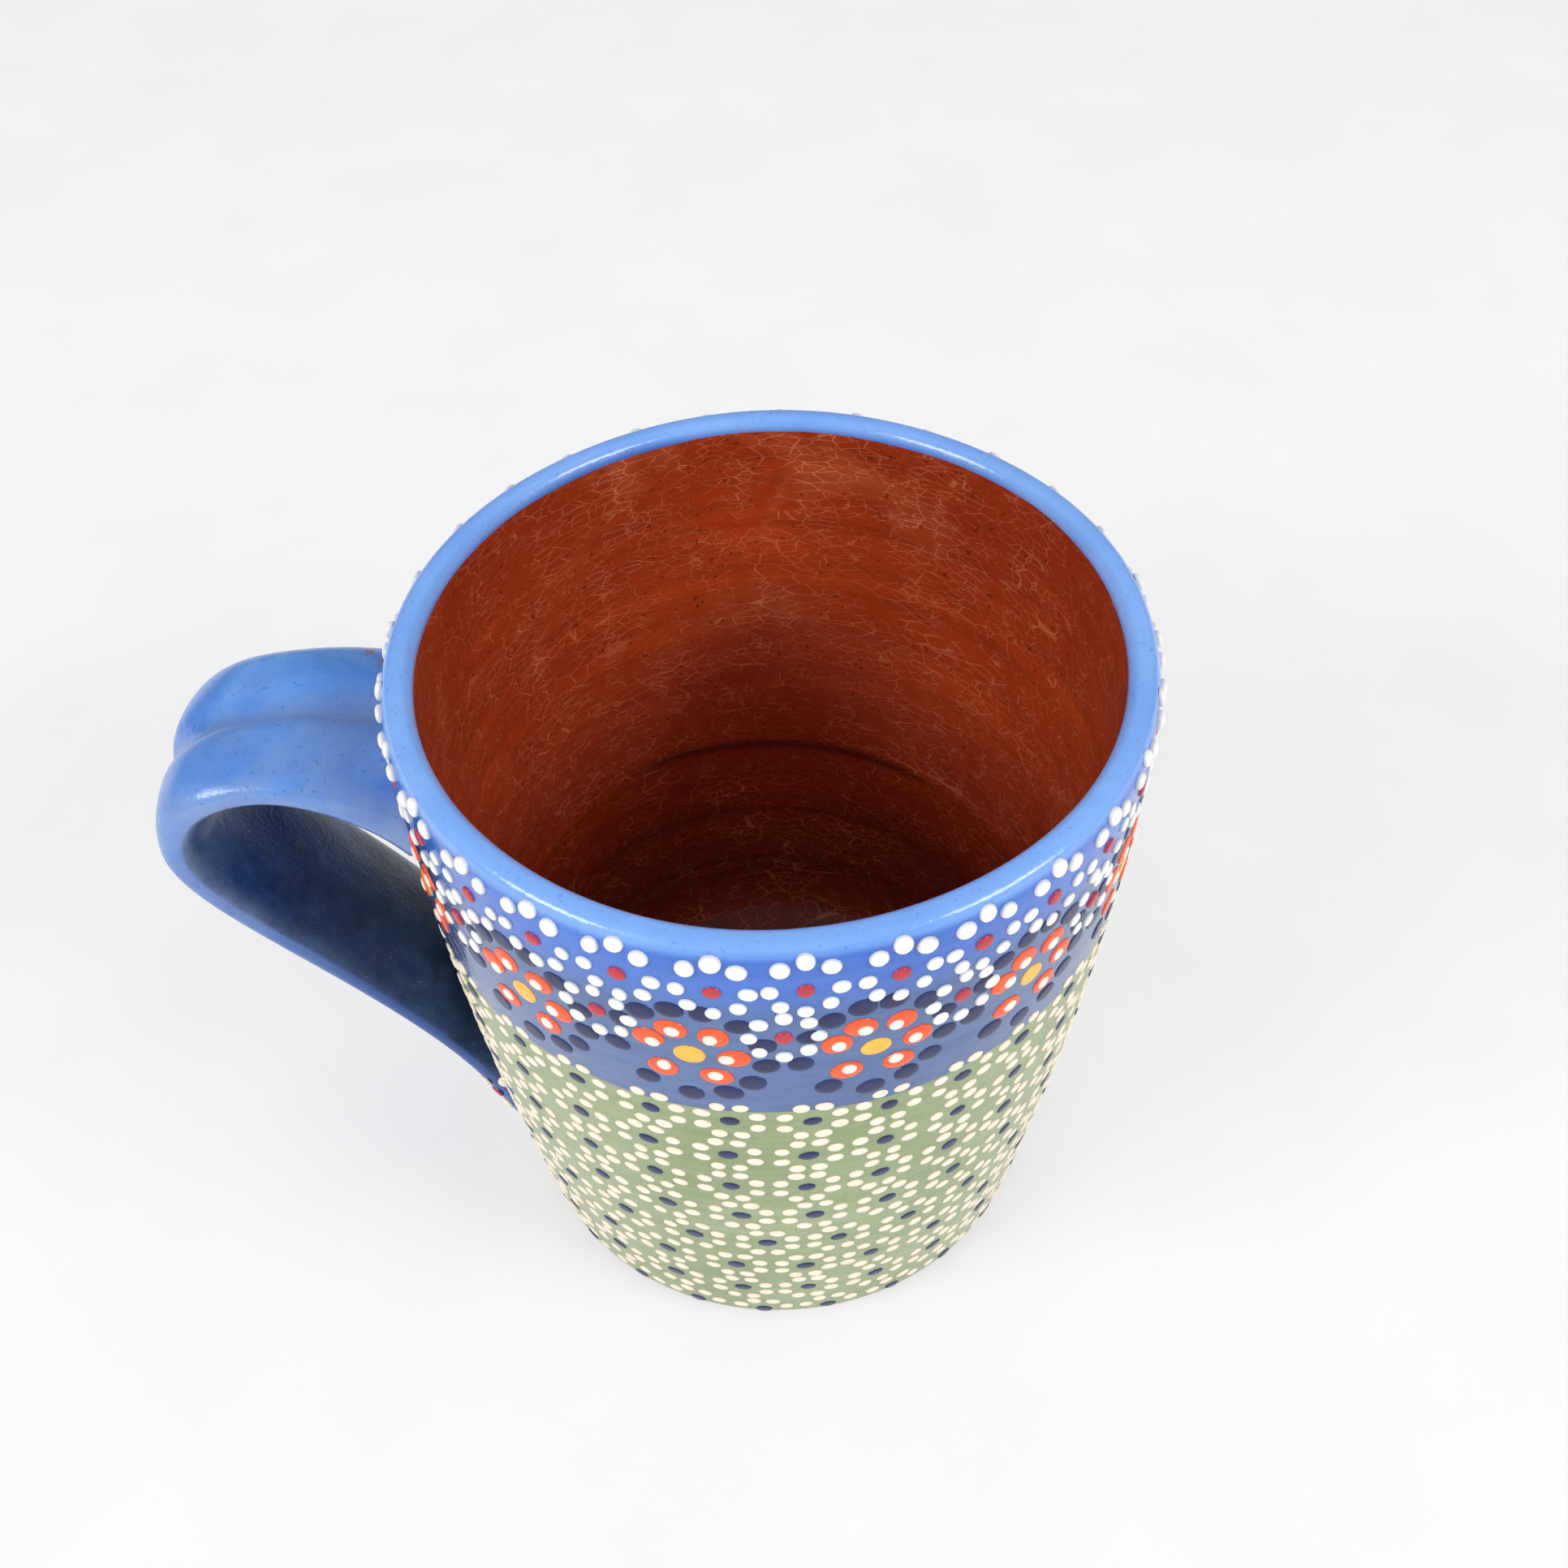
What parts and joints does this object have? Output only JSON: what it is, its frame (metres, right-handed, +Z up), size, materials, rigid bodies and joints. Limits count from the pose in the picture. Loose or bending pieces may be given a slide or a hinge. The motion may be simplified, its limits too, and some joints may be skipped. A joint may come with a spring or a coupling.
{
  "type": "clay mug",
  "caption": "Round clay mug with a tapering cup, a rounded lip and a grooved strap handle, in coloured slip with raised dots in flowers, rings and a lattice.",
  "frame": {"origin": "centre of the foot's flat face, which stands on Z = 0", "axes": "+Z up along the axis of the cup, and the handle points along -X"},
  "size_m": [0.1199, 0.0914, 0.093],
  "materials": {
    "clay": "fired red clay",
    "joining_slip": "fired slip of the same clay",
    "blue_slip": "glazed, glossy",
    "green_slip": "glazed, glossy",
    "handle_slip": "glazed, glossy, mottled",
    "inner_glaze": "clear glossy glaze over red clay",
    "white_dots": "raised, glossy",
    "cream_dots": "raised, glossy",
    "red_dots": "raised, glossy",
    "navy_dots": "raised, glossy",
    "orange_petals": "raised, glossy",
    "yellow_hearts": "raised, glossy",
    "petal_highlights": "raised, glossy"
  },
  "bodies": {
    "root": {"clay_cup": "clay", "clay_handle": "clay", "upper_joint_slip": "joining_slip", "lower_joint_slip": "joining_slip", "blue_slip_coat": "blue_slip", "green_slip_coat": "green_slip", "handle_slip_coat": "handle_slip", "inner_glaze": "inner_glaze", "garland_large_dots": "white_dots", "garland_small_dots": "white_dots", "garland_red_dots": "red_dots", "flower_outline_dots": "navy_dots", "flower_petals": "orange_petals", "petal_highlights": "petal_highlights", "flower_hearts": "yellow_hearts", "lattice_cream_dots": "cream_dots", "lattice_navy_dots": "navy_dots", "handle_cream_dots": "cream_dots", "handle_red_dot": "red_dots"}
  },
  "joints": []
}
